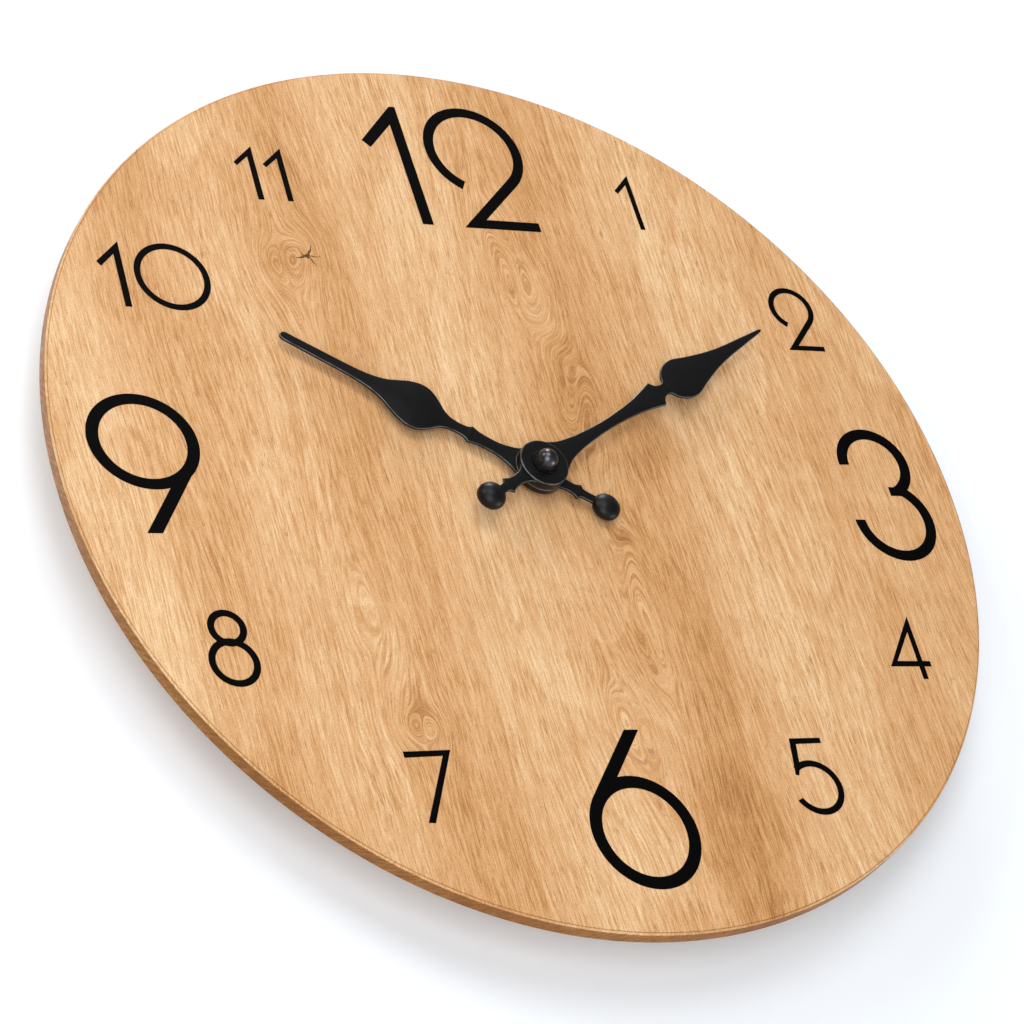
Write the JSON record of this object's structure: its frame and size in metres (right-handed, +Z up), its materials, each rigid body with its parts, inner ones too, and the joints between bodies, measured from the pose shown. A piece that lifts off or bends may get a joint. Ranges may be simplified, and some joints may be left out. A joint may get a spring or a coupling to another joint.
{
  "type": "wall clock",
  "caption": "Round wooden wall clock with black printed numerals, black serpentine hour and minute hands, and a quartz movement with a wall hanger behind the dial.",
  "frame": {"origin": "on the axis of the hands' arbor, in the plane of the wall, which is the back face of the movement's rear cover", "axes": "+Z up, from the arbor to 12 o'clock; +Y from the clock into the wall, so the dial faces -Y; +X to 3 o'clock"},
  "size_m": [0.3, 0.0355, 0.3],
  "materials": {
    "oak_board": "clear-coated pale oak veneer, vertical grain, satin",
    "hand_black": "satin black paint",
    "cap_black": "glossy black",
    "brass_parts": "turned brass",
    "rubber_seal": "matt black rubber",
    "zinc_steel": "zinc-plated sheet steel",
    "plain_steel": "plain steel",
    "case_plastic": "fine spark texture, black",
    "inner_plastic": "natural white acetal",
    "copper_wire": "enamelled copper wire",
    "fibreglass_board": "green circuit laminate",
    "black_epoxy": "black epoxy dome",
    "battery_sleeve": "plain blue printed sleeve on a steel can",
    "magnet_block": "sintered magnet"
  },
  "bodies": {
    "clock_frame": {"wood_dial": "oak_board", "threaded_bushing": "brass_parts", "rubber_washer": "rubber_seal", "brass_washer": "brass_parts", "hex_nut": "brass_parts", "hanger_plate": "zinc_steel", "movement_case": "case_plastic", "rear_cover": "case_plastic", "middle_plate": "inner_plastic", "stator": "plain_steel", "coil_core": "plain_steel", "coil_bobbin": "inner_plastic", "coil_winding": "copper_wire", "circuit_board": "fibreglass_board", "clock_chip": "black_epoxy", "quartz_crystal": "plain_steel", "positive_contact": "plain_steel", "negative_contact": "plain_steel"},
    "battery_cell": {"battery": "battery_sleeve"},
    "minute_unit": {"minute_arbor": "plain_steel", "clutch_spring": "plain_steel", "minute_hand": "hand_black", "cap_nut": "cap_black"},
    "hour_unit": {"hour_wheel": "inner_plastic", "hour_hand": "hand_black"},
    "motion_unit": {"motion_wheel": "inner_plastic"},
    "setting_unit": {"setting_knob": "case_plastic", "setting_pinion": "inner_plastic"},
    "centre_unit": {"centre_wheel": "inner_plastic"},
    "third_unit": {"third_wheel": "inner_plastic"},
    "fourth_unit": {"fourth_wheel": "inner_plastic"},
    "intermediate_unit": {"intermediate_wheel": "inner_plastic"},
    "rotor_unit": {"rotor_pinion": "inner_plastic", "rotor_magnet": "magnet_block"}
  },
  "joints": [
    {"name": "minute_turn", "type": "hinge", "parent": "clock_frame", "child": "minute_unit", "pos_m": [0, 0, 0], "axis": [0, 1, 0], "continuous": true},
    {"name": "hour_turn", "type": "hinge", "parent": "clock_frame", "child": "hour_unit", "pos_m": [0, 0, 0], "axis": [0, 1, 0], "continuous": true},
    {"name": "motion_turn", "type": "hinge", "parent": "clock_frame", "child": "motion_unit", "pos_m": [-0.00624, 0, 0.0036], "axis": [0, 1, 0], "continuous": true},
    {"name": "knob_turn", "type": "hinge", "parent": "clock_frame", "child": "setting_unit", "pos_m": [-0.01133, 0, 0.00869], "axis": [0, 1, 0], "continuous": true},
    {"name": "intermediate_turn", "type": "hinge", "parent": "clock_frame", "child": "intermediate_unit", "pos_m": [0.01305, 0, 0.0138], "axis": [0, 1, 0], "continuous": true},
    {"name": "fourth_turn", "type": "hinge", "parent": "clock_frame", "child": "fourth_unit", "pos_m": [0.006, 0, 0.01637], "axis": [0, 1, 0], "continuous": true},
    {"name": "third_turn", "type": "hinge", "parent": "clock_frame", "child": "third_unit", "pos_m": [0.0038, 0, 0.00816], "axis": [0, 1, 0], "continuous": true},
    {"name": "centre_turn", "type": "hinge", "parent": "clock_frame", "child": "centre_unit", "pos_m": [0, 0, 0], "axis": [0, 1, 0], "continuous": true},
    {"name": "rotor_turn", "type": "hinge", "parent": "clock_frame", "child": "rotor_unit", "pos_m": [0.01486, 0, 0.00704], "axis": [0, 1, 0], "continuous": true},
    {"name": "battery_slide", "type": "slide", "parent": "clock_frame", "child": "battery_cell", "axis": [0, 1, 0], "range_m": [0, 0.02]}
  ],
  "couplings": [
    {"joint": "hour_turn", "follows": "minute_turn", "ratio": 0.083333},
    {"joint": "motion_turn", "follows": "minute_turn", "ratio": -0.33333},
    {"joint": "knob_turn", "follows": "minute_turn", "ratio": 1},
    {"joint": "rotor_turn", "follows": "intermediate_turn", "ratio": -6},
    {"joint": "fourth_turn", "follows": "intermediate_turn", "ratio": -0.2},
    {"joint": "third_turn", "follows": "intermediate_turn", "ratio": 0.026667},
    {"joint": "centre_turn", "follows": "intermediate_turn", "ratio": -0.0033333}
  ]
}
